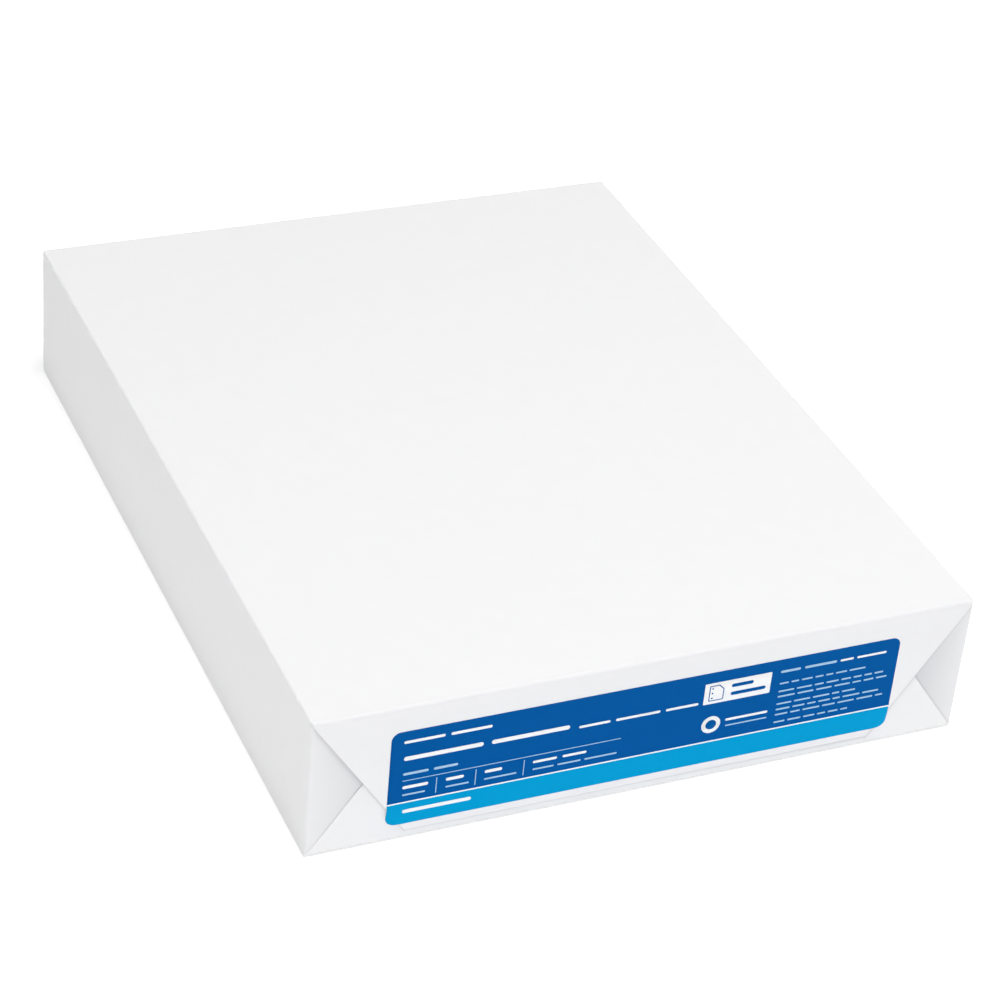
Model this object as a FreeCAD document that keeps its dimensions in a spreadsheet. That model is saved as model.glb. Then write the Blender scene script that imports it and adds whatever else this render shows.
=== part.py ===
import FreeCAD, Part
import math
import os
import PartDesign
import Sketcher
import Spreadsheet

# A ream of letter-size paper, sealed in a plain white wrapper, with an adhesive label on one end.
# The origin is the middle of the base. X is the pack's width, Y its length and Z its height,
# and the labelled end faces -Y.

doc = FreeCAD.newDocument("paper_ream")
sheet = doc.addObject("Spreadsheet::Sheet", "Sizes")

# Driving sizes in millimetres: name, value, what it is
sizes = [
    ("sheet_width", 215.9, "one sheet of paper, across"),
    ("sheet_length", 279.4, "one sheet of paper, along"),
    ("sheet_count", 500, "sheets in the pack"),
    ("sheet_caliper", 0.0975, "thickness of one sheet"),
    ("wrap_gauge", 0.12, "thickness of the wrapper"),
    ("side_gap", 0.25, "wrapper and air beside the sheets, on each side"),
    ("end_gap", 1.5, "from the sheets' ends to the top flap's face, at each end"),
    ("flap_step", 0.4, "from the top flap's face back to the bottom flap's face"),
    ("flap_margin", 3.3, "from a flap's cut edge to the pack's far face"),
    ("tuck_width", 17.2, "from the pack's side to the point where the creases cross"),
    ("crossing_drop", 0.75, "from mid-height of the pack down to that point"),
    ("corner_radius", 1.2, "upright corner, where the side turns into the tuck"),
    ("long_edge_radius", 0.8, "edge that runs along the pack"),
    ("end_edge_radius", 0.8, "edge where a flap is folded over"),
    ("seam_lap", 25, "overlap of the wrapper under the pack"),
    ("seam_taper", 14, "width over which the overlap's step runs out"),
    ("label_width", 166.8, "label, across"),
    ("label_height", 34.6, "label, upright"),
    ("label_radius", 2.9, "label's corners"),
    ("label_gauge", 0.1, "thickness of the label with its adhesive"),
    ("label_drop", 1.3, "from mid-height of the pack down to the label's middle"),
]
for row, (name, size, meaning) in enumerate(sizes, start=1):
    sheet.set(f"A{row}", name)
    sheet.set(f"B{row}", str(size))
    sheet.set(f"C{row}", meaning)
    sheet.setAlias(f"B{row}", name)
doc.recompute()

# Sizes that follow from the driving ones, as formulas of the sheet
half_width = "(Sizes.sheet_width / 2 + Sizes.side_gap)"
half_length = "(Sizes.sheet_length / 2 + Sizes.end_gap)"
height = "(Sizes.sheet_count * Sizes.sheet_caliper + 3 * Sizes.wrap_gauge)"
half_under = f"({half_length} - Sizes.flap_step)"
tuck_depth = "(Sizes.end_gap - Sizes.flap_step - Sizes.wrap_gauge)"
tuck_run = "(Sizes.tuck_width - Sizes.corner_radius)"
tuck_radius = f"(({tuck_run}^2 + {tuck_depth}^2) / (2 * {tuck_depth}))"
flap_depth = f"({height} - Sizes.flap_margin)"
top_slope = f"(Sizes.tuck_width / ({height} / 2 + Sizes.crossing_drop))"
bottom_slope = f"(Sizes.tuck_width / ({height} / 2 - Sizes.crossing_drop))"
top_half_edge = f"({half_width} - {top_slope} * {flap_depth})"
bottom_half_edge = f"({half_width} - {bottom_slope} * {flap_depth})"
overrun = "1"


def amount(formula):
    return float(sheet.evalExpression(formula))


def signed(sign, formula):
    return formula if sign > 0 else f"-({formula})"


def sketch_on(body, role, name):
    sketch = body.newObject("Sketcher::SketchObject", name)
    plane = next(item for item in body.Origin.OriginFeatures if item.Role == role)
    sketch.AttachmentSupport = [(plane, "")]
    sketch.MapMode = "FlatFace"
    return sketch


def hold(sketch, axis, edge, end, formula):
    """Holds one end of an edge at a distance from the sketch's origin."""
    if abs(amount(formula)) < 1e-9:
        across = -2 if axis == "DistanceX" else -1
        sketch.addConstraint(Sketcher.Constraint("PointOnObject", edge, end, across))
        return
    index = sketch.addConstraint(Sketcher.Constraint(axis, -1, 1, edge, end, amount(formula)))
    sketch.setExpression(f"Constraints[{index}]", formula)


def arc_between(start, finish, radius, turn):
    """The shorter arc from start to finish: turn is 1 anticlockwise and -1 clockwise."""
    chord = finish - start
    reach = math.sqrt(max(radius**2 - (chord.Length / 2) ** 2, 0))
    across = FreeCAD.Vector(-chord.y, chord.x, 0).normalize()
    centre = (start + finish) / 2 + across * (reach * turn)
    first, last = (start, finish) if turn > 0 else (finish, start)
    first_angle = math.atan2(first.y - centre.y, first.x - centre.x)
    last_angle = math.atan2(last.y - centre.y, last.x - centre.x)
    if last_angle < first_angle:
        last_angle += 2 * math.pi
    circle = Part.Circle(centre, FreeCAD.Vector(0, 0, 1), radius)
    return Part.ArcOfCircle(circle, first_angle, last_angle)


def draw_outline(sketch, corners):
    """Draws one closed outline. Each corner is its x and y formulas and, where the edge that
    leaves it is an arc, that arc's radius formula and turn."""
    spots = [FreeCAD.Vector(amount(corner[0]), amount(corner[1]), 0) for corner in corners]
    edges = []
    for number, corner in enumerate(corners):
        start = spots[number]
        finish = spots[(number + 1) % len(corners)]
        if len(corner) == 2:
            edge = sketch.addGeometry(Part.LineSegment(start, finish))
            edges.append((edge, 1, 2))
            continue
        radius, turn = corner[2:]
        edge = sketch.addGeometry(arc_between(start, finish, amount(radius), turn))
        edges.append((edge, 1, 2) if turn > 0 else (edge, 2, 1))
        index = sketch.addConstraint(Sketcher.Constraint("Radius", edge, amount(radius)))
        sketch.setExpression(f"Constraints[{index}]", radius)
    for number, (edge, begins, ends) in enumerate(edges):
        next_edge, next_begins, _ = edges[(number + 1) % len(edges)]
        sketch.addConstraint(Sketcher.Constraint("Coincident", edge, ends, next_edge, next_begins))
        hold(sketch, "DistanceX", edge, begins, corners[number][0])
        hold(sketch, "DistanceY", edge, begins, corners[number][1])


def draw_edge_waste(sketch, across, up, right, upward, radius):
    """Draws what a rounded edge takes off a square one. The square corner is at across, up,
    and right and upward are 1 or -1, the way out of the solid."""
    inner_x = f"({across} - {right} * {radius})"
    inner_y = f"({up} - {upward} * {radius})"
    outer_x = f"({across} + {right} * {overrun})"
    outer_y = f"({up} + {upward} * {overrun})"
    draw_outline(sketch, [
        (inner_x, up),
        (inner_x, outer_y),
        (outer_x, outer_y),
        (outer_x, inner_y),
        (across, inner_y, radius, right * upward),
    ])


def extrude(body, kind, sketch, name, length, symmetric):
    feature = body.newObject(f"PartDesign::{kind}", name)
    feature.Profile = sketch
    feature.SideType = "Symmetric" if symmetric else "One side"
    feature.setExpression("Length", length)
    before = 0 if body.Shape.isNull() else body.Shape.Volume
    doc.recompute()
    change = feature.Shape.Volume - before
    if (kind == "Pocket") != (change < 0):
        raise RuntimeError(f"{name} changes the volume by {change:.3f}")


def make_wrapped_ream():
    """The sealed pack: the sheets in their wrapper, with an envelope fold at each end."""
    body = doc.addObject("PartDesign::Body", "WrappedReam")
    body.Label = "wrapped_ream"

    # The pack seen from above: each side turns in at the upright corners and runs back to
    # the sheets' ends, which is the tuck
    plan = sketch_on(body, "XY_Plane", "TuckedPlan")
    corners = []
    for right, back in ((-1, -1), (1, -1), (1, 1), (-1, 1)):
        side = (signed(right, half_width), signed(back, f"({half_under} - Sizes.corner_radius)"))
        turned = (signed(right, f"({half_width} - Sizes.corner_radius)"), signed(back, half_under))
        inner = (
            signed(right, f"({half_width} - Sizes.tuck_width)"),
            signed(back, f"({half_under} - {tuck_depth})"),
        )
        if right * back > 0:
            corners.append((*side, "Sizes.corner_radius", 1))
            corners.append((*turned, tuck_radius, 1))
            corners.append(inner)
        else:
            corners.append((*inner, tuck_radius, 1))
            corners.append((*turned, "Sizes.corner_radius", 1))
            corners.append(side)
    draw_outline(plan, corners)
    extrude(body, "Pad", plan, "SheetsAndTucks", height, False)

    # Each flap is a trapezium between two creases that start at the pack's corners. The flaps
    # of both ends are the two ends of one long prism.
    bottom_plan = sketch_on(body, "XZ_Plane", "BottomFlapOutline")
    draw_outline(bottom_plan, [
        (signed(-1, half_width), "0"),
        (half_width, "0"),
        (bottom_half_edge, flap_depth),
        (signed(-1, bottom_half_edge), flap_depth),
    ])
    extrude(body, "Pad", bottom_plan, "BottomFlaps", f"2 * {half_under}", True)

    top_plan = sketch_on(body, "XZ_Plane", "TopFlapOutline")
    draw_outline(top_plan, [
        (signed(-1, top_half_edge), "Sizes.flap_margin"),
        (top_half_edge, "Sizes.flap_margin"),
        (half_width, height),
        (signed(-1, half_width), height),
    ])
    extrude(body, "Pad", top_plan, "TopFlaps", f"2 * {half_length}", True)

    # The folded edges are rounded: over the ends, along the pack and up the corners
    end_edges = sketch_on(body, "YZ_Plane", "EndEdgeWaste")
    for back in (-1, 1):
        draw_edge_waste(end_edges, signed(back, half_length), height, back, 1, "Sizes.end_edge_radius")
        draw_edge_waste(end_edges, signed(back, half_under), "0", back, -1, "Sizes.end_edge_radius")
    extrude(body, "Pocket", end_edges, "EndEdges", f"2 * ({half_width} + {overrun})", True)

    long_edges = sketch_on(body, "XZ_Plane", "LongEdgeWaste")
    for right in (-1, 1):
        draw_edge_waste(long_edges, signed(right, half_width), height, right, 1, "Sizes.long_edge_radius")
        draw_edge_waste(long_edges, signed(right, half_width), "0", right, -1, "Sizes.long_edge_radius")
    extrude(body, "Pocket", long_edges, "LongEdges", f"2 * ({half_length} + {overrun})", True)

    upright_edges = sketch_on(body, "XY_Plane", "UprightEdgeWaste")
    for right in (-1, 1):
        for back in (-1, 1):
            draw_edge_waste(
                upright_edges,
                signed(right, half_width),
                signed(back, half_length),
                right,
                back,
                "Sizes.corner_radius",
            )
    extrude(body, "Pocket", upright_edges, "UprightEdges", f"2 * ({height} + {overrun})", True)

    # Under the pack one edge of the wrapper laps over the other, and its step runs out sideways
    seam = sketch_on(body, "XZ_Plane", "LapSeamOutline")
    seam_edge = "(Sizes.seam_lap / 2)"
    draw_outline(seam, [
        (seam_edge, f"-{overrun}"),
        (f"({seam_edge} + Sizes.seam_taper)", f"-{overrun}"),
        (f"({seam_edge} + Sizes.seam_taper)", "0"),
        (seam_edge, "Sizes.wrap_gauge"),
    ])
    extrude(body, "Pocket", seam, "LapSeam", f"2 * ({half_length} + {overrun})", True)
    return body


def make_end_label():
    """The adhesive label, stuck on the top flap of the end that faces -Y."""
    body = doc.addObject("PartDesign::Body", "EndLabel")
    body.Label = "end_label"
    face = sketch_on(body, "XZ_Plane", "LabelOutline")
    half_label = "(Sizes.label_width / 2)"
    half_tall = "(Sizes.label_height / 2)"
    inner_x = f"({half_label} - Sizes.label_radius)"
    inner_y = f"({half_tall} - Sizes.label_radius)"
    draw_outline(face, [
        (signed(-1, inner_x), signed(-1, half_tall)),
        (inner_x, signed(-1, half_tall), "Sizes.label_radius", 1),
        (half_label, signed(-1, inner_y)),
        (half_label, inner_y, "Sizes.label_radius", 1),
        (inner_x, half_tall),
        (signed(-1, inner_x), half_tall, "Sizes.label_radius", 1),
        (signed(-1, half_label), inner_y),
        (signed(-1, half_label), signed(-1, inner_y), "Sizes.label_radius", 1),
    ])
    extrude(body, "Pad", face, "LabelStock", "Sizes.label_gauge", False)
    body.setExpression(".Placement.Base.y", signed(-1, half_length))
    body.setExpression(".Placement.Base.z", f"{height} / 2 - Sizes.label_drop")
    return body


sub_parts = [make_wrapped_ream(), make_end_label()]
doc.recompute()

for item in doc.Objects:
    if "Invalid" in item.State or "Error" in item.State:
        raise RuntimeError(f"{item.Label} failed: {item.State}")
for part in sub_parts:
    if part.Shape.isNull() or not part.Shape.isValid() or len(part.Shape.Solids) != 1:
        raise RuntimeError(f"{part.Label} is not one valid solid")

os.makedirs("parts", exist_ok=True)
for part in sub_parts:
    part.Shape.exportStep(f"parts/{part.Label}.step")
    box = part.Shape.BoundBox
    print(
        f"{part.Label}: {box.XLength:.2f} x {box.YLength:.2f} x {box.ZLength:.2f} mm,"
        f" from y {box.YMin:.2f} and z {box.ZMin:.2f}, {part.Shape.Volume / 1000:.2f} cm3"
    )
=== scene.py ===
import math
import random
import bmesh
import bpy
from mathutils import Matrix, Vector, noise


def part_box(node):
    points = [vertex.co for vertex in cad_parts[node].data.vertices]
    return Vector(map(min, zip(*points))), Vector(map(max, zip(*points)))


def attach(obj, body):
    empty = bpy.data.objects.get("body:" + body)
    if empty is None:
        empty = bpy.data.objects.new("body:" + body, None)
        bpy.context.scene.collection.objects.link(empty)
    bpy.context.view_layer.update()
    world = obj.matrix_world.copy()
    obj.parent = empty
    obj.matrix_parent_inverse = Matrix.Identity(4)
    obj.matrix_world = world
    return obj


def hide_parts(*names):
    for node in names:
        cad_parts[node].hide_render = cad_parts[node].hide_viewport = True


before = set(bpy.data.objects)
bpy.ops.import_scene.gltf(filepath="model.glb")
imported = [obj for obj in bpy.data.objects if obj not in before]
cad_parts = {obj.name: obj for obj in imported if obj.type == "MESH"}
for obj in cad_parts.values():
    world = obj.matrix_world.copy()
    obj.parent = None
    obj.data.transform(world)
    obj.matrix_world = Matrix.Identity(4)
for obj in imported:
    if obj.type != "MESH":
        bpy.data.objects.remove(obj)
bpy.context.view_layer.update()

# A sealed ream of letter paper: white wrapper with envelope-folded ends, and an adhesive label.
# Sizes in the dictionaries are millimetres, and the meshes are made in metres.

mm = 0.001
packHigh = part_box("wrapped_ream")[1]
halfWidth = packHigh.x / mm
halfLength = packHigh.y / mm
packHeight = packHigh.z / mm
weldDistance = 2e-6           # metres: points closer than this are joined
shortestEdge = 1e-7           # and shorter edges dropped


def hexToLinear(text):
    # sRGB hex to the linear colour that a shader takes
    channels = [int(text[i:i + 2], 16) / 255 for i in (1, 3, 5)]
    return [c / 12.92 if c <= 0.04045 else ((c + 0.055) / 1.055) ** 2.4 for c in channels] + [1.0]


def addNode(tree, kind, links=None, **settings):
    # adds a node: settings are its properties or sockets, links are socket: (node, output)
    node = tree.nodes.new(kind)
    for name, value in settings.items():
        if hasattr(node, name):
            setattr(node, name, value)
        else:
            node.inputs[name.replace("_", " ")].default_value = value
    for socket, (source, output) in (links or {}).items():
        tree.links.new(source.outputs[output], node.inputs[socket])
    return node


def startMaterial(name, **surface):
    # a new material with its principled surface, whose constant sockets are set directly
    material = bpy.data.materials.new(name)
    material.use_nodes = True
    tree = material.node_tree
    shader = tree.nodes["Principled BSDF"]
    for socket, value in surface.items():
        shader.inputs[socket.replace("_", " ")].default_value = value
    return material, tree, shader


def ramp(t):
    # smooth step from 0 to 1
    t = min(max(t, 0), 1)
    return t * t * (3 - 2 * t)


def spread(start, end, count):
    # points from start to end, closer together near both
    return [start + (end - start) * (1 - math.cos(math.pi * i / (count - 1))) / 2 for i in range(count)]


def arcSteps(radius, steps):
    # distances from an edge at which its rounding is cut, in even angles
    return [radius * (1 - math.cos(math.pi / 2 * i / steps)) for i in range(steps + 1)]


def roundOff(depth, radius):
    # how far a rounded edge draws back at this depth from the face
    if depth >= radius:
        return 0
    return radius - math.sqrt(max(radius ** 2 - (radius - depth) ** 2, 0))


def meshObject(name, points, faces, materials, kinds=None, paintedShades=None):
    # points in mm; kinds are the faces' materials, painted shades a number at each point for a shader
    mesh = bpy.data.meshes.new(name)
    mesh.from_pydata([Vector(p) * mm for p in points], [], faces)
    for material in materials:
        mesh.materials.append(material)
    if kinds:
        mesh.polygons.foreach_set("material_index", kinds)
    if paintedShades:
        mesh.attributes.new("paintedShade", "FLOAT", "POINT").data.foreach_set("value", paintedShades)
    form = bmesh.new()
    form.from_mesh(mesh)
    bmesh.ops.remove_doubles(form, verts=form.verts, dist=weldDistance)
    bmesh.ops.dissolve_degenerate(form, edges=form.edges, dist=shortestEdge)
    bmesh.ops.recalc_face_normals(form, faces=form.faces)
    form.to_mesh(mesh)
    form.free()
    mesh.polygons.foreach_set("use_smooth", [True] * len(mesh.polygons))
    piece = bpy.data.objects.new(name, mesh)
    bpy.context.scene.collection.objects.link(piece)
    return piece


# Wrapper

wrapper = {
    "gauge": 0.12,            # one layer
    "cornerRadius": 1.2,      # upright corners
    "longEdgeRadius": 0.8,    # edges along the sides
    "endEdgeRadius": 1.1,     # the ends' upper edges
    "baseRadius": 1.3,        # and their lower ones, which are softer
    "tuckWidth": 17.2,        # from the side to the point where the creases cross
    "apexHeight": 23.8,       # height of that point
    "flapStep": 0.40,         # from the top flap back to the bottom flap
    "flapMargin": 3.3,        # from the top flap's cut edge down to the base
    "bottomReach": 30.0,      # height at which the bottom flap ends, out of sight
    "underHem": 0.12,         # from the bottom flap back to the tuck, beside the corner
    "tuckDepth": 0.15,        # and how much further back the tuck lies where the creases cross
    "tuckCurve": 0.5,         # share of that depth which comes late, towards the crossing
    "hem": 0.25,              # thickness of a folded hem, two layers
    "hemShare": 0.85,         # and at most this share of the room in front of the tuck
    "pocket": 1.5,            # how far the gap runs in behind a hem
    "cornerRun": 1.2,         # width over which the tuck parts from the flaps, next to a corner
    "flapRun": 0.7,           # and over which the top flap comes forward
    "puff": 0.05,             # how far a crease springs out of the flap's face
    "puffWidth": 1.6,         # and how far in from the crease
    "puffStart": 6,           # over this width from the side it comes up to that
    "settle": 0.15,           # how much closer the top flap lies at its cut edge
    "seamEdge": 12.5,         # of the lap seam under the pack, from the middle
    "seamTaper": 14.0,        # the underside comes down again over this width beside it
    "seamStep": 0.02,         # half the width of the step at its edge
    "seamFade": 4,            # the seam is pressed flat over this length at each end
    "waveHeight": 0.06,       # slow unevenness of the large faces: height and length
    "waveLength": 70.0,
    "waveApart": 7.3,         # in lengths, how far apart the faces' patterns lie
    "waveFade": 8.0,          # it comes up over this width from a face's edge
    "flapWaveFade": 6,        # and over this one below an end's upper edge
    "sideMargin": 1,          # a long side is flat this far from its upper and lower edge
    "tuckShade": (0.11, 0.50),  # painted shade greying the tuck, at the upright corner and at the crossing
    "flapShadeLine": (0.37, 0.45),  # tone and width of the painted shadow line beside the top flap's edge, on the bottom flap and on the tuck, and of the one beside the bottom flap's edge, on the tuck
    "tuckShadeLine": (0.33, 0.80),  # bottom flap and on the tuck,
    "hemShadeLine": (0.28, 0.45),   # and of the one beside the bottom flap's edge, on the tuck
    "tuckShadeLean": 0.20,         # painted shade: the right-hand tuck is greyer by this share, the left-hand lighter, and so are the painted shadow lines beside its creases
    "lineShadeLean": 0.40,         # and so are the lines beside its creases
    "flapShadeLean": (0.60, 1.5),  # the painted shadow line under the flap is darker and wider by these, far right
    "edgeShade": 0.22,         # painted shade greying the folded upper edge and the lower one
    "baseShade": 0.20,         # and of the lower one
    # how finely it is cut: rows across an end and along the panels, columns up and down
    "edgeSteps": 6,           # round a folded edge
    "hemSteps": 4,            # round a hem
    "pocketRows": 4,          # behind the bottom flap
    "backRows": 5,            # behind the top flap
    "outerRows": 20,          # on the top flap
    "tuckNear": (0, 0.25, 0.5, 0.8, 1.2, 1.8, 2.6, 3.6),  # from a crease into the tuck
    "tuckNarrow": 18,         # or, in a narrow part, steps of the tuck's height over this
    "tuckMiddle": 6,          # between both creases
    "flapNear": (0, 0.2, 0.4, 0.7, 1.1, 1.7, 2.6),        # under the top flap's edge
    "flapNarrow": 8,          # and the same for a narrow part
    "flapBelow": 5,           # from the base up to there
    "flapAbove": 4,           # and from that edge up, out of sight
    "cornerSteps": 7,         # columns: round an upright corner,
    "tuckColumns": 18,        # across the tuck,
    "creaseColumns": 8,       # on to the cut edge's corner,
    "cutCorner": 0.4,         # beside that corner, this far off,
    "middleColumns": 30,      # and from there to the middle
    "panelRows": 60,          # along the pack
}


def wave(x, y, face):
    # slow unevenness of a face of the wrapper, in mm, different on each face
    w = wrapper
    place = Vector((x / w["waveLength"], y / w["waveLength"], face * w["waveApart"]))
    return w["waveHeight"] * noise.noise(place)


def fade(depth, width=wrapper["waveFade"]):
    # 0 at a face's edge, 1 from this width on
    return ramp(depth / width)


def hemHeights(inward):
    # heights of the bottom flap's and the top flap's edge, at this distance from the side
    w = wrapper
    bottom = min(inward * w["apexHeight"] / w["tuckWidth"], w["bottomReach"])
    top = max(packHeight - inward * (packHeight - w["apexHeight"]) / w["tuckWidth"], w["flapMargin"])
    return bottom, top


def tuckRun(inward):
    # 0 at the upright corner, 1 where the creases cross
    w = wrapper
    return min(max((inward - w["cornerRadius"]) / (w["tuckWidth"] - w["cornerRadius"]), 0), 1)


def tuckDrop(inward):
    # how far the tuck's surface lies behind the bottom flap's face
    w = wrapper
    run, late = tuckRun(inward), w["tuckCurve"]
    further = w["tuckDepth"] * ((1 - late) * run + late * run ** 2)
    return w["underHem"] * ramp(inward / w["cornerRun"]) + further


def hemPuff(x, z):
    # the top flap's slanted creases spring out a little
    w = wrapper
    inward = halfWidth - abs(x)
    rise = packHeight - w["apexHeight"]
    across = w["tuckWidth"]
    distance = (inward * rise - (packHeight - z) * across) / math.hypot(rise, across)
    return w["puff"] * math.exp(-(max(distance, 0) / w["puffWidth"]) ** 2) * ramp(inward / w["puffStart"])


def flapFace(x, z, end=0):
    # how far the top flap's outer face stands out from the pack's middle
    w = wrapper
    inward = halfWidth - abs(x)
    seat = halfLength - roundOff(inward, w["cornerRadius"])
    seat -= w["flapStep"] * (1 - ramp(inward / w["flapRun"]))
    bulge = wave(x, z, 3 + end) * fade(inward) * fade(packHeight - z, w["flapWaveFade"])
    settled = w["settle"] * ramp((w["apexHeight"] - z) / (w["apexHeight"] - w["flapMargin"]))
    return seat + bulge + hemPuff(x, z) - settled * ramp((inward - w["tuckWidth"]) / w["tuckWidth"])


def creaseShade(line, distance, deeper=0, wider=0):
    # painted shadow: grey of the line beside a crease, at this distance from it
    paintedShade, width = wrapper[line]
    return paintedShade * (1 + deeper) * math.exp(-(distance / (width * (1 + wider))) ** 2)


def tuckHeights(low, high, bottomHem, topHem):
    # heights of the tuck's rows, close together beside both creases
    w = wrapper
    steps, inside = w["tuckNear"], w["tuckMiddle"]
    start, stop = max(low, bottomHem), min(high, topHem)
    if stop <= start:
        last = 2 * len(steps) + inside + 1
        return [low + (high - low) * i / last for i in range(last + 1)]
    near = [min(step, (stop - start) * k / w["tuckNarrow"]) for k, step in enumerate(steps)]
    first, last = start + near[-1], stop - near[-1]
    middle = [first + (last - first) * i / (inside + 1) for i in range(1, inside + 1)]
    return [low] + [start + n for n in near] + middle + [stop - n for n in reversed(near)] + [high]


def flapHeights(low, high, line):
    # heights of the bottom flap's rows, close together under the top flap's edge
    w = wrapper
    below, above = w["flapBelow"], w["flapAbove"]
    line = min(max(line, low), high)
    near = [min(step, (line - low) * k / w["flapNarrow"]) for k, step in enumerate(w["flapNear"])]
    first = line - near[-1]
    heights = [low + (first - low) * i / below for i in range(below)] + [line - n for n in reversed(near)]
    return heights + [line + (high - line) * i / above for i in range(1, above + 1)]


def flapRows(x, bottomOut, thick, root, bottomHem, topHem, slant):
    # the bottom flap: its face with the painted shadow line under the top flap, its hem, and the gap behind
    # it
    w = wrapper
    half = thick / 2
    if bottomHem - half <= root:
        count = len(w["flapNear"]) + w["flapBelow"] + w["flapAbove"] + w["hemSteps"] + 1 + w["pocketRows"]
        return [(bottomOut, root, 0)] * count
    # the painted shadow line under the flap grows darker and wider towards the right-hand side
    deeper, wider = (share * max(x, 0) / halfWidth for share in w["flapShadeLean"])
    rows = []
    for z in flapHeights(root, bottomHem - half, topHem):
        rows.append((bottomOut, z, creaseShade("flapShadeLine", (topHem - z) * slant, deeper, wider)))
    for i in range(w["hemSteps"] + 1):
        angle = math.pi * i / w["hemSteps"]
        rows.append((bottomOut - half + half * math.cos(angle), bottomHem - half + half * math.sin(angle), 0))
    pocketLow = max(root, bottomHem - w["pocket"])
    return rows + [(bottomOut - thick, z, 0) for z in spread(bottomHem - half, pocketLow, w["pocketRows"])]


def tuckRows(x, tuckOut, low, high, bottomHem, topHem, topSlant, bottomSlant):
    # the tuck, with painted shade: greyer towards the crossing and beside both creases
    w = wrapper
    inward = halfWidth - abs(x)
    run = tuckRun(inward)
    side = 1 if x > 0 else -1
    # painted shade of the tuck: greyer towards the crossing, and more on the right-hand side
    paintedTuckShade = (w["tuckShade"][0] * (1 - run) + w["tuckShade"][1] * run) * (1 + side * w["tuckShadeLean"])
    rows = []
    for z in tuckHeights(low, high, bottomHem, topHem):
        # painted shadow lines beside both creases
        creaseShadow = creaseShade("tuckShadeLine", (topHem - z) * topSlant)
        creaseShadow = max(creaseShadow, creaseShade("hemShadeLine", (z - bottomHem) * bottomSlant))
        paintedShade = paintedTuckShade + creaseShadow * (1 + side * w["lineShadeLean"])
        rows.append((tuckOut, z, paintedShade * ramp(inward / w["cornerRun"])))
    return rows


def topFlapRows(x, end, topOut, thick, pocketHigh, ceiling, topHem):
    # the top flap: its back, its hem or cut edge, and its outer face
    w = wrapper
    edgeHeight = topHem + thick / 2
    if edgeHeight >= ceiling:
        return [(topOut, ceiling, 0)] * (w["backRows"] + w["hemSteps"] + 1 + w["outerRows"])
    outer = [(flapFace(x, z, end), z, 0) for z in spread(edgeHeight, ceiling, w["outerRows"])]
    outer[-1] = (topOut, ceiling, 0)
    rows = []
    for z in spread(pocketHigh, edgeHeight, w["backRows"]):
        rows.append((min(topOut, flapFace(x, z, end)) - thick, z, 0))
    edge, back = outer[0][0], rows[-1][0]
    for i in range(w["hemSteps"] + 1):
        angle = math.pi * i / w["hemSteps"]
        out = (edge + back) / 2 - (edge - back) / 2 * math.cos(angle)
        rows.append((out, topHem + thick / 2 * (1 - math.sin(angle)), 0))
    return rows + outer


def endRows(x, end):
    # one section through a folded end, from the base's edge up to the top's edge: the bottom
    # flap, the tuck behind it and the top flap. A row is how far out, how high, and its painted shade.
    w = wrapper
    inward = halfWidth - abs(x)
    low = roundOff(inward, w["longEdgeRadius"])
    high = packHeight - low
    radius, baseRadius = w["endEdgeRadius"], w["baseRadius"]
    root, ceiling = low + baseRadius, high - radius
    seat = halfLength - roundOff(inward, w["cornerRadius"])
    bottomOut = seat - w["flapStep"]
    tuckOut = bottomOut - tuckDrop(inward)
    topOut = seat - w["flapStep"] * (1 - ramp(inward / w["flapRun"]))
    bottomHem, topHem = hemHeights(inward)
    bottomThick = min(w["hem"], w["hemShare"] * (bottomOut - tuckOut))
    topThick = min(w["hem"], w["hemShare"] * (topOut - tuckOut))
    across, rise, fall = w["tuckWidth"], packHeight - w["apexHeight"], w["apexHeight"]
    topSlant, bottomSlant = across / math.hypot(across, rise), across / math.hypot(across, fall)
    if topHem == w["flapMargin"]:    # the flap's cut edge: one layer, and level
        topThick, topSlant = w["gauge"], 1
    pocketLow = max(root, bottomHem - w["pocket"])
    pocketHigh = min(ceiling, max(topHem, bottomHem) + w["pocket"])
    last = w["edgeSteps"]
    rows = []
    for i in range(last + 1):
        angle = math.pi / 2 * i / last
        # painted shade on the rounded lower edge, strongest where it turns under the pack
        paintedShade = w["baseShade"] * math.cos(angle) ** 0.5 if i < last else 0
        out = bottomOut - baseRadius * (1 - math.sin(angle))
        rows.append((out, low + baseRadius * (1 - math.cos(angle)), paintedShade))
    rows += flapRows(x, bottomOut, bottomThick, root, bottomHem, topHem, topSlant)
    rows += tuckRows(x, tuckOut, pocketLow, pocketHigh, bottomHem, topHem, topSlant, bottomSlant)
    rows += topFlapRows(x, end, topOut, topThick, pocketHigh, ceiling, topHem)
    for i in range(last + 1):
        angle = math.pi / 2 * i / last
        # painted shade on the folded upper edge, strongest halfway round it
        paintedShade = w["edgeShade"] * math.sin(math.pi * i / last)
        rows.append((topOut - radius * (1 - math.cos(angle)), ceiling + radius * math.sin(angle), paintedShade))
    return rows


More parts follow.
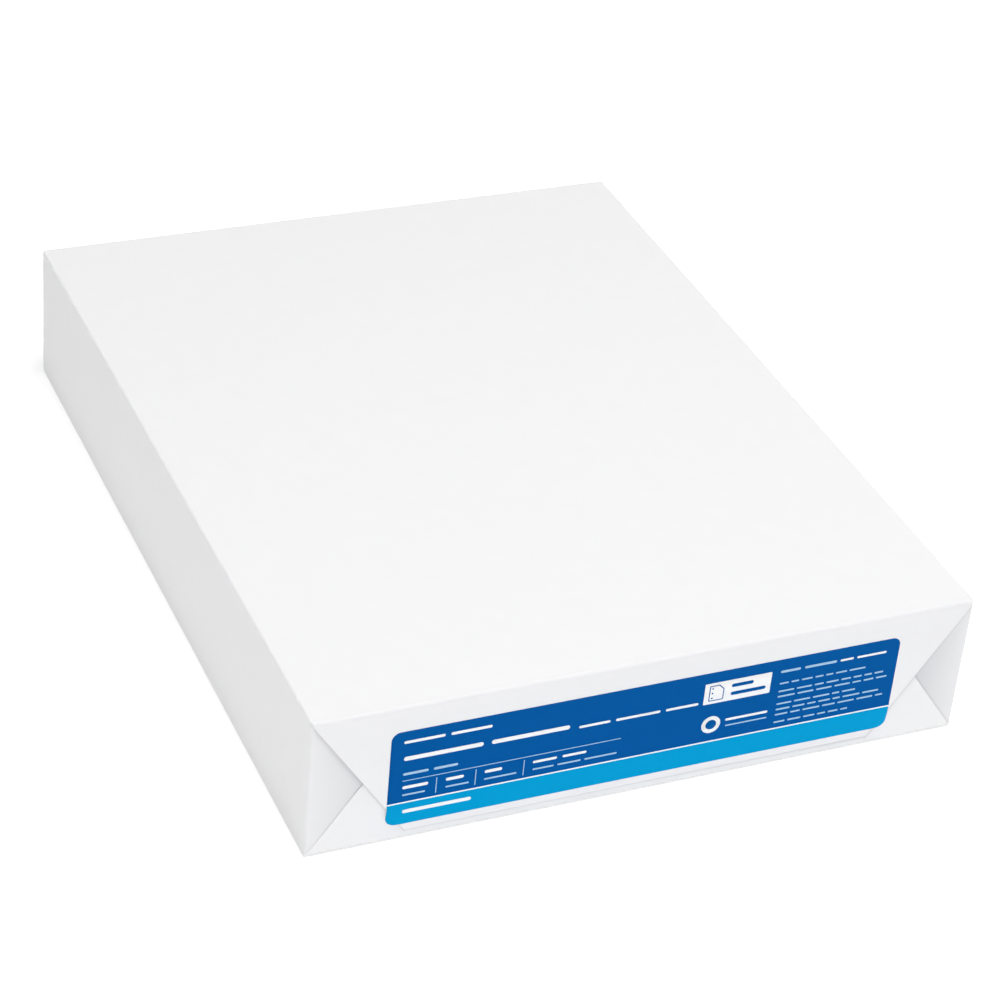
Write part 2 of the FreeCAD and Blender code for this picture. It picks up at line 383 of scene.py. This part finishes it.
def wrapperColumns():
    # where the pack is cut into sections across its width
    w = wrapper
    apex, corner = w["tuckWidth"], w["cornerRadius"]
    slope = w["tuckWidth"] / (packHeight - w["apexHeight"])
    flapCorner = (packHeight - w["flapMargin"]) * slope
    reachCorner = w["bottomReach"] * w["tuckWidth"] / w["apexHeight"]
    tuck, crease, middle = w["tuckColumns"], w["creaseColumns"], w["middleColumns"]
    inner = arcSteps(w["longEdgeRadius"], w["cornerSteps"]) + arcSteps(corner, w["cornerSteps"])
    inner += [corner + (apex - corner) * i / tuck for i in range(tuck + 1)]
    inner += [apex + (flapCorner - apex) * i / crease for i in range(crease + 1)]
    inner += [reachCorner, flapCorner - w["cutCorner"], flapCorner + w["cutCorner"]]
    inner += [flapCorner + (halfWidth - flapCorner) * i / middle for i in range(1, middle + 1)]
    inner = sorted({round(distance, 5) for distance in inner})
    columns = [-halfWidth + d for d in inner] + [halfWidth - d for d in reversed(inner[:-1])]
    columns += [w["seamEdge"] - w["seamStep"], w["seamEdge"] + w["seamStep"]]
    return sorted(set(columns))


def seamRise(x):
    # height of the underside beside the lap seam's edge, where there is one layer less
    w = wrapper
    past = x - w["seamEdge"]
    return w["gauge"] * (1 - past / w["seamTaper"]) if 0 < past < w["seamTaper"] else 0


def wrapperSection(x):
    # the pack's closed outline at this x, front end first, and the painted shade at each of its points
    inward = halfWidth - abs(x)
    frontRows, backRows = endRows(x, 0), endRows(x, 1)
    front = [(-out, z) for out, z, paintedShade in frontRows]
    back = [(out, z) for out, z, paintedShade in backRows]
    endShades = [paintedShade for out, z, paintedShade in frontRows]
    (topFront, topHeight), topBack = front[-1], back[-1][0]
    count = wrapper["panelRows"]
    top = []
    for y in spread(topFront, topBack, count)[1:-1]:
        edge = fade(inward) * fade(y - topFront) * fade(topBack - y)
        top.append((y, topHeight + wave(x, y, 0) * edge))
    bottom = []
    for y in spread(back[0][0], front[0][0], count)[1:-1]:
        rise = seamRise(x) * fade(halfLength - abs(y), wrapper["seamFade"])
        bottom.append((y, front[0][1] + rise))
    outline = front + top + back[::-1] + bottom
    paintedShades = endShades + [0] * len(top) + endShades[::-1] + [0] * len(bottom)
    return outline, paintedShades


def addSide(points, faces, side, outline, endCount):
    # a long side: ruled from the front end's rows to the back end's, with a slow unevenness
    count, margin = wrapper["panelRows"], wrapper["sideMargin"]
    front = outline[:endCount]
    back = outline[endCount + count - 2:2 * endCount + count - 2][::-1]
    first = len(points)
    for (frontY, z), (backY, _) in zip(front, back):
        for y in spread(frontY, backY, count):
            edge = fade(y - frontY) * fade(backY - y) * fade(z - margin) * fade(packHeight - margin - z)
            points.append((side * (halfWidth + wave(y, z, 5 + side) * edge), y, z))
    for r in range(endCount - 1):
        for k in range(count - 1):
            a = first + r * count + k
            faces.append((a, a + 1, a + count + 1, a + count))


def makeWrapper(material):
    # sections joined across the width, and the two long sides
    columns = wrapperColumns()
    sections = [wrapperSection(x) for x in columns]
    points = [(x, y, z) for x, (outline, _) in zip(columns, sections) for y, z in outline]
    paintedShades = [paintedShade for _, sectionShades in sections for paintedShade in sectionShades]
    rowCount = len(sections[0][0])
    faces = []
    for c in range(len(columns) - 1):
        for r in range(rowCount):
            s = (r + 1) % rowCount
            faces.append((c * rowCount + r, c * rowCount + s, (c + 1) * rowCount + s, (c + 1) * rowCount + r))
    endCount = len(endRows(columns[0], 0))
    addSide(points, faces, -1, sections[0][0], endCount)
    addSide(points, faces, 1, sections[-1][0], endCount)
    paintedShades += [0] * (len(points) - len(paintedShades))
    return meshObject("wrapper", points, faces, [material], paintedShades=paintedShades)


def wrapPaper():
    # bleached kraft ream wrap with a clay coating, calendered: near white and smooth with a
    # soft satin, a faint cloudiness where the fibres lie thicker, and a very fine tooth; the
    # mesh's painted shade greys it in the tucks and along the creases, where little light
    # comes in, and on the folded edges
    cloud, tooth, toothDepth = 7.0, 0.9, 0.03    # mm: the tooth is drawn coarse enough to show
    material, tree, shader = startMaterial("bleachedKraftWrap", Roughness=0.55, IOR=1.46)
    place = addNode(tree, "ShaderNodeTexCoord")
    clouds = addNode(tree, "ShaderNodeTexNoise", {"Vector": (place, "Object")},
                     Scale=1 / (cloud * mm), Detail=4, Roughness=0.6)
    tint = addNode(tree, "ShaderNodeMix", {"Factor": (clouds, "Fac")}, data_type="RGBA",
                   A=hexToLinear("#EFEFF0"), B=hexToLinear("#F2F2F3"))
    # painted shade from the mesh mixes this grey into the paper's colour
    paintedShade = addNode(tree, "ShaderNodeAttribute", attribute_name="paintedShade")
    shadeMix = addNode(tree, "ShaderNodeMix", {"Factor": (paintedShade, "Fac"), "A": (tint, "Result")},
                     data_type="RGBA", B=hexToLinear("#BCBDC1"))
    tree.links.new(shadeMix.outputs["Result"], shader.inputs["Base Color"])
    fibres = addNode(tree, "ShaderNodeTexNoise", {"Vector": (place, "Object")},
                     Scale=1 / (tooth * mm), Detail=6, Roughness=0.65)
    satin = addNode(tree, "ShaderNodeMapRange", {"Value": (clouds, "Fac")}, To_Min=0.48, To_Max=0.62)
    tree.links.new(satin.outputs["Result"], shader.inputs["Roughness"])
    relief = addNode(tree, "ShaderNodeBump", {"Height": (fibres, "Fac")},
                     Strength=0.25, Distance=toothDepth * mm)
    tree.links.new(relief.outputs["Normal"], shader.inputs["Normal"])
    return material


wrapperPiece = makeWrapper(wrapPaper())
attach(wrapperPiece, "root")
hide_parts("wrapped_ream")
print("wrapper:", len(wrapperPiece.data.polygons), "faces")


# Label

label = {
    "radius": 2.9,            # its corners
    "gauge": 0.10,
    "adhesive": 0.01,         # between its back and the wrapper
    "bandTop": 8.1,           # from the label's lower edge to the white line
    "line": 0.5,              # width of the white line
    "drapeWidth": 2.6,        # where it leaves the top flap it settles over this width
    "drapeLift": 0.02,        # and there it stands this far off the bottom flap
    "columnStep": 2.5,        # how finely it is cut, across and upright
    "rowStep": 1.6,
    "lineClear": 0.6,         # no row comes closer to the white line's middle than this
    "arcRows": 8,             # at a round corner
    "arcColumns": 4,
}
labelLow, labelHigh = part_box("end_label")
labelHalf = labelHigh.x / mm
labelBase = labelLow.z / mm
labelTop = labelHigh.z / mm
labelLine = labelBase + label["bandTop"]


def labelSeat(x, z):
    # how far out the label's back lies: on the top flap, and let down past its creases
    w = wrapper
    inward = halfWidth - abs(x)
    rise = packHeight - w["apexHeight"]
    past = ((packHeight - z) * w["tuckWidth"] - inward * rise) / math.hypot(rise, w["tuckWidth"])
    onto = ramp(past / label["drapeWidth"])
    bottomFlap = halfLength - w["flapStep"] + label["drapeLift"]
    return flapFace(x, z) * (1 - onto) + bottomFlap * onto + label["adhesive"]


def labelRows():
    # heights of the label's rows: close at the round corners, even between, and cut at the line
    arc = arcSteps(label["radius"], label["arcRows"])
    rows = {labelBase + a for a in arc} | {labelTop - a for a in arc}
    rows |= {labelLine - label["line"] / 2, labelLine + label["line"] / 2}
    first, last = labelBase + label["radius"], labelTop - label["radius"]
    steps = int((last - first) / label["rowStep"])
    for i in range(1, steps):
        z = first + (last - first) * i / steps
        if abs(z - labelLine) > label["lineClear"]:
            rows.add(z)
    return sorted(round(z, 5) for z in rows)


def labelReach(z):
    # how far the label's end lies from its middle at this height
    depth = min(z - labelBase, labelTop - z)
    return labelHalf - roundOff(max(depth, 0), label["radius"])


def makeLabel(stock, upperInk, lowerInk):
    # the back and the printed face in rows of equal count, and a rim between them
    straight = labelHalf - label["radius"]
    steps = int(2 * straight / label["columnStep"])
    inner = [-straight + 2 * straight * i / steps for i in range(steps + 1)]
    outer = [i / label["arcColumns"] for i in range(1, label["arcColumns"] + 1)]
    rows = labelRows()
    lineLow = labelLine - label["line"] / 2
    points = []
    for depth in (0, label["gauge"]):
        for z in rows:
            past = labelReach(z) - straight
            xs = [-straight - past * t for t in reversed(outer)] + inner
            xs += [straight + past * t for t in outer]
            points += [(x, -(labelSeat(x, z) + depth), z) for x in xs]
    wide, tall = len(inner) + 2 * len(outer), len(rows)
    faces, kinds = [], []
    for layer in (0, 1):
        base = layer * wide * tall
        for j in range(tall - 1):
            level = (rows[j] + rows[j + 1]) / 2
            ink = 2 if level < lineLow else 0 if level < lineLow + label["line"] else 1
            for i in range(wide - 1):
                a = base + j * wide + i
                faces.append((a, a + 1, a + wide + 1, a + wide))
                kinds.append(ink * layer)
    rim = [(0, i) for i in range(wide)] + [(j, wide - 1) for j in range(1, tall)]
    rim += [(tall - 1, i) for i in range(wide - 2, -1, -1)] + [(j, 0) for j in range(tall - 2, 0, -1)]
    for n, (j, i) in enumerate(rim):
        k, m = rim[(n + 1) % len(rim)]
        a, b = j * wide + i, k * wide + m
        faces.append((a, b, b + wide * tall, a + wide * tall))
        kinds.append(0)
    return meshObject("endLabel", points, faces, [stock, upperInk, lowerInk], kinds)


def labelStock():
    # coated label paper: bright white, smooth, seen at its cut edge and wherever no ink lies
    cloud = 5.0               # mm, where the coating lies thicker
    material, tree, shader = startMaterial("coatedLabelStock", Roughness=0.42, IOR=1.48)
    place = addNode(tree, "ShaderNodeTexCoord")
    clouds = addNode(tree, "ShaderNodeTexNoise", {"Vector": (place, "Object")},
                     Scale=1 / (cloud * mm), Detail=3)
    tint = addNode(tree, "ShaderNodeMix", {"Factor": (clouds, "Fac")}, data_type="RGBA",
                   A=hexToLinear("#F4F5F7"), B=hexToLinear("#F9FAFA"))
    tree.links.new(tint.outputs["Result"], shader.inputs["Base Color"])
    return material


def offsetInk(name, light, dark):
    # offset ink on coated stock: flat solid colour, with a faint mottle and a dull satin
    mottle = 1.2              # mm, coarser than the real one so that it shows
    material, tree, shader = startMaterial(name, Roughness=0.5, IOR=1.45, Specular_IOR_Level=0.02)
    place = addNode(tree, "ShaderNodeTexCoord")
    mottling = addNode(tree, "ShaderNodeTexNoise", {"Vector": (place, "Object")},
                       Scale=1 / (mottle * mm), Detail=5)
    tint = addNode(tree, "ShaderNodeMix", {"Factor": (mottling, "Fac")}, data_type="RGBA",
                   A=hexToLinear(dark), B=hexToLinear(light))
    tree.links.new(tint.outputs["Result"], shader.inputs["Base Color"])
    return material


stock = labelStock()
deepBlue = offsetInk("deepBlueInk", "#0059A3", "#00569E")
skyBlue = offsetInk("skyBlueInk", "#00A0D8", "#009DD3")
paleBlue = offsetInk("paleBlueInk", "#A9CBE6", "#A3C6E2")
labelPiece = makeLabel(stock, deepBlue, skyBlue)
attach(labelPiece, "root")
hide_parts("end_label")
print("label:", len(labelPiece.data.polygons), "faces")


# Print on the label: plain bars, fine rules, and a small sign of a punched sheet.
# A bar, box or sign is its left end, right end, height of its middle, and thickness.

printing = {
    "layer": 0.010,           # lift of one printing over the one below, coarser than real ink
    "root": 0.01,             # how far a printed plate reaches down into the label
    "whiteBars": [
        (-79.4, -66.6, 36.5, 1.0), (-64.8, -51.9, 36.5, 1.0),
        (-79.1, -54.2, 30.4, 1.5), (-51.6, -26.6, 30.4, 1.5),
        (-23.6, -13.4, 29.6, 0.9), (-11.6, 3.0, 29.6, 0.9), (4.8, 15.6, 29.6, 0.9),
        (-78.9, -70.8, 19.7, 1.1), (-65.3, -59.6, 19.7, 1.1), (-53.0, -47.4, 19.7, 1.1),
        (-37.6, -29.8, 19.7, 0.9), (-28.0, -20.2, 19.7, 0.9),
        (-78.4, -56.6, 10.6, 1.3),
        (25.7, 40.0, 21.4, 0.9), (63.0, 67.6, 35.8, 0.8), (68.8, 79.0, 35.8, 0.8),
    ],
    "paleBars": [
        (-79.0, -71.0, 24.7, 0.9), (-69.4, -61.8, 24.7, 0.9),
        (-78.8, -71.6, 16.9, 0.6), (-65.2, -57.8, 16.9, 0.6), (-53.0, -42.6, 16.9, 0.6),
        (-37.4, -30.6, 16.9, 0.6), (-29.4, -21.8, 16.9, 0.6), (-20.6, -10.0, 16.9, 0.6),
        (25.9, 40.0, 19.1, 0.5), (42.6, 49.4, 35.8, 0.9), (50.8, 61.8, 35.8, 0.9),
    ],
    "rule": (-79.0, -9.2, 22.2, 0.28),
    "posts": [-68.2, -55.8, -40.4],
    "postHalf": 0.14,         # half their width
    "postSpan": (15.4, 21.2),
    "ruleRadius": 0.1,
    "box": (17.2, 39.6, 32.6, 7.8),
    "boxRadius": 0.3,
    "boxBars": [(26.2, 33.6, 34.2, 1.3), (26.2, 38.0, 31.2, 1.3)],
    "sign": (18.8, 23.8, 32.6, 5.8),
    "signLine": 0.35,         # width of the sign's outline
    "signCuts": (1.7, 1.5),   # the folded corner, of the outline and of the field inside it
    "signHoles": [30.8, 32.6, 34.4],
    "holeSpan": (0.8, 1.4),   # from the sign's left edge
    "holeHeight": 0.6,
    "ring": (17.7, 24.1, 20.6, 6.4),
    "ringWidth": 1.4,
    "noteLines": [31.3, 28.3, 26.3, 23.5, 21.4, 19.4, 16.5],
    "noteStart": 42.8,
    "noteEnds": [72.4, 79.6, 80.6, 72.2, 79.4, 80.2, 68.4],
    "noteBars": (2.2, 6.2),   # shortest and longest bar along these lines
    "noteHeight": 0.6,
    "noteGap": 0.9,
    "noteLeast": 1.6,         # a line ends where less than this is left
    "plateStep": 2.5,         # how finely a plate is cut: along, and round its corners
    "plateArc": 5,
    "plateLeast": 0.02,       # half the height left at a rounded bar's tip
}


def printPlate(job, span, radius, layer, ink, cut=0):
    # one printed shape, in its layer and ink; cut takes the upper right corner off
    p = printing
    start, end, middle, tall = span
    arc = arcSteps(radius, p["plateArc"])
    steps = max(1, math.ceil((end - start - 2 * radius) / p["plateStep"]))
    xs = [start + a for a in arc] + [end - a for a in reversed(arc)]
    xs += [start + radius + (end - start - 2 * radius) * i / steps for i in range(1, steps)]
    if cut:
        xs.append(end - cut)
    xs = sorted({round(x, 4) for x in xs})
    points, faces, kinds = job
    first = len(points)
    face, root = label["gauge"] + layer * p["layer"], label["gauge"] - p["root"]
    for x in xs:
        half = max(tall / 2 - roundOff(min(x - start, end - x), radius), p["plateLeast"])
        low, high = middle - half, middle + half - max(cut - (end - x), 0)
        for z, out in ((low, face), (high, face), (high, root), (low, root)):
            points.append((x, -(labelSeat(x, z) + out), z))
    for n in range(len(xs) - 1):
        a = first + 4 * n
        for s in range(4):
            t = (s + 1) % 4
            faces.append((a + s, a + t, a + 4 + t, a + 4 + s))
    last = first + 4 * (len(xs) - 1)
    faces += [(first, first + 1, first + 2, first + 3), (last, last + 1, last + 2, last + 3)]
    kinds += [ink] * (4 * (len(xs) - 1) + 2)


def makePrint(inks):
    # layer 1 lies on the label, and each further one on the one below
    p = printing
    white, pale, deep = 0, 1, 2
    job = ([], [], [])
    for span in p["whiteBars"]:
        printPlate(job, span, span[3] / 2, 1, white)
    for span in p["paleBars"]:
        printPlate(job, span, span[3] / 2, 1, pale)
    printPlate(job, p["rule"], p["ruleRadius"], 1, pale)
    low, high = p["postSpan"]
    for x in p["posts"]:
        post = (x - p["postHalf"], x + p["postHalf"], (low + high) / 2, high - low)
        printPlate(job, post, p["ruleRadius"], 1, pale)
    printPlate(job, p["box"], p["boxRadius"], 1, white)
    for span in p["boxBars"]:
        printPlate(job, span, span[3] / 2, 2, deep)
    start, end, middle, tall = p["sign"]
    line, (outerCut, innerCut) = p["signLine"], p["signCuts"]
    printPlate(job, p["sign"], p["boxRadius"], 2, deep, cut=outerCut)
    field = (start + line, end - line, middle, tall - 2 * line)
    printPlate(job, field, p["ruleRadius"], 3, white, cut=innerCut)
    left, right = p["holeSpan"]
    for z in p["signHoles"]:
        printPlate(job, (start + left, start + right, z, p["holeHeight"]), p["holeHeight"] / 2, 4, deep)
    start, end, middle, tall = p["ring"]
    inset = p["ringWidth"]
    printPlate(job, p["ring"], tall / 2, 1, white)
    hollow = (start + inset, end - inset, middle, tall - 2 * inset)
    printPlate(job, hollow, tall / 2 - inset, 2, deep)
    # fine bars of chance lengths along each line
    chance = random.Random(4)
    for z, stop in zip(p["noteLines"], p["noteEnds"]):
        x = p["noteStart"]
        while x < stop - p["noteLeast"]:
            wide = min(chance.uniform(*p["noteBars"]), stop - x)
            printPlate(job, (x, x + wide, z, p["noteHeight"]), p["noteHeight"] / 2, 1, pale)
            x += wide + p["noteGap"]
    points, faces, kinds = job
    return meshObject("labelPrint", points, faces, inks, kinds)


printPiece = makePrint([stock, paleBlue, deepBlue])
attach(printPiece, "root")
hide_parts("end_label")
print("print:", len(printPiece.data.polygons), "faces")


# Studio

studio = {
    "azimuth": -25.57,        # degrees, where the camera stands round the pack
    "elevation": 33.47,
    "roll": 5.48,
    "distance": 1027.7,       # mm, from the middle of the base
    "aimRight": 11.27,        # mm, and moved across its view by these
    "aimUp": 12.27,
    "lens": 109.42,           # mm, on a sensor this wide
    "sensor": 36,
    "clip": (0.05, 20),       # metres
    "floorSize": 8000.0,
    "floorDrop": 0.02,        # the floor lies this far under the base
    "floorGlow": (0.26, 0.80),  # the table is lit from below, a little under the pack and more
    "glowReach": (700, 2400),   # out where the softboxes don't reach: mm from the middle
    "floorCloud": 60,         # mm, width of the floor's faint clouds
    "wallLight": 0.74,
    "ceilingLight": 0.0,
    "wallTop": (0.02, 0.40),  # the light falls off between these heights, as shares of straight up
    "softboxes": {            # name: place and size in metres, power in watts
        "overheadBox": ((0.0, 0.0, 2.2), (2.0, 2.0), 21.6),
        "frontTopBox": ((0.0, -0.4, 2.0), (1.2, 1.2), 25.2),
        "leftBox": ((-0.8, -0.8, 0.35), (0.5, 0.4), 1.02),
        "rightBox": ((1.6, -0.6, 0.9), (1.2, 1.0), 8.45),
    },
}


def makeFloor():
    # opal acrylic table, matt, lit from below: white, and shadows on it stay faint
    material, tree, shader = startMaterial("opalAcrylic", Roughness=0.8, IOR=1.49,
                                           Emission_Color=hexToLinear("#FFFFFF"))
    place = addNode(tree, "ShaderNodeTexCoord")
    reach = addNode(tree, "ShaderNodeVectorMath", operation="LENGTH")
    tree.links.new(place.outputs["Object"], reach.inputs[0])
    (nearGlow, farGlow), (glowStart, glowEnd) = studio["floorGlow"], studio["glowReach"]
    glow = addNode(tree, "ShaderNodeMapRange", {"Value": (reach, "Value")}, interpolation_type="SMOOTHSTEP",
                   From_Min=glowStart * mm, From_Max=glowEnd * mm, To_Min=nearGlow, To_Max=farGlow)
    tree.links.new(glow.outputs["Result"], shader.inputs["Emission Strength"])
    grain = addNode(tree, "ShaderNodeTexNoise", {"Vector": (place, "Object")},
                    Scale=1 / (studio["floorCloud"] * mm), Detail=2)
    tint = addNode(tree, "ShaderNodeMix", {"Factor": (grain, "Fac")}, data_type="RGBA",
                   A=hexToLinear("#FAFAFA"), B=hexToLinear("#FCFCFC"))
    tree.links.new(tint.outputs["Result"], shader.inputs["Base Color"])
    half = studio["floorSize"] / 2
    corners = [(-half, -half, 0), (half, -half, 0), (half, half, 0), (-half, half, 0)]
    floor = meshObject("floor", corners, [(0, 1, 2, 3)], [material])
    floor.location.z = -studio["floorDrop"] * mm


def makeCamera():
    s = studio
    a, e, r = (math.radians(s[k]) for k in ("azimuth", "elevation", "roll"))
    back = Vector((math.sin(a) * math.cos(e), -math.cos(a) * math.cos(e), math.sin(e)))
    level = Vector((0, 0, 1)).cross(back).normalized()
    upright = back.cross(level)
    right = level * math.cos(r) + upright * math.sin(r)
    up = upright * math.cos(r) - level * math.sin(r)
    data = bpy.data.cameras.new("camera")
    data.lens = s["lens"]
    data.sensor_width = s["sensor"]
    data.clip_start, data.clip_end = s["clip"]
    camera = bpy.data.objects.new("camera", data)
    bpy.context.scene.collection.objects.link(camera)
    place = (back * s["distance"] + right * s["aimRight"] + up * s["aimUp"]) * mm
    turn = Matrix((right, up, back)).transposed().to_4x4()
    camera.matrix_world = Matrix.Translation(place) @ turn
    bpy.context.scene.camera = camera


def addSoftbox(name, place, size, power):
    # a soft light at this place, turned to the pack
    data = bpy.data.lights.new(name, "AREA")
    data.shape = "RECTANGLE"
    data.size, data.size_y = size
    data.energy = power
    lamp = bpy.data.objects.new(name, data)
    bpy.context.scene.collection.objects.link(lamp)
    lamp.location = place
    lamp.rotation_mode = "QUATERNION"
    lamp.rotation_quaternion = (-Vector(place)).to_track_quat("-Z", "Y")


def makeLight():
    # a white room, bright at the walls and dark overhead, and softboxes aimed at the pack
    s = studio
    world = bpy.data.worlds.new("whiteRoom")
    world.use_nodes = True
    tree = world.node_tree
    background = tree.nodes["Background"]
    place = addNode(tree, "ShaderNodeTexCoord")
    parts = addNode(tree, "ShaderNodeSeparateXYZ", {"Vector": (place, "Generated")})
    wallStart, wallEnd = s["wallTop"]
    climb = addNode(tree, "ShaderNodeMapRange", {"Value": (parts, "Z")}, interpolation_type="SMOOTHSTEP",
                    From_Min=wallStart, From_Max=wallEnd, To_Min=s["wallLight"], To_Max=s["ceilingLight"])
    background.inputs["Color"].default_value = (1, 1, 1, 1)
    tree.links.new(climb.outputs["Result"], background.inputs["Strength"])
    bpy.context.scene.world = world
    for name, (place, size, power) in s["softboxes"].items():
        addSoftbox(name, place, size, power)


makeFloor()
makeCamera()
makeLight()
bpy.context.scene.view_settings.view_transform = "Standard"
print("studio: floor, camera and light")
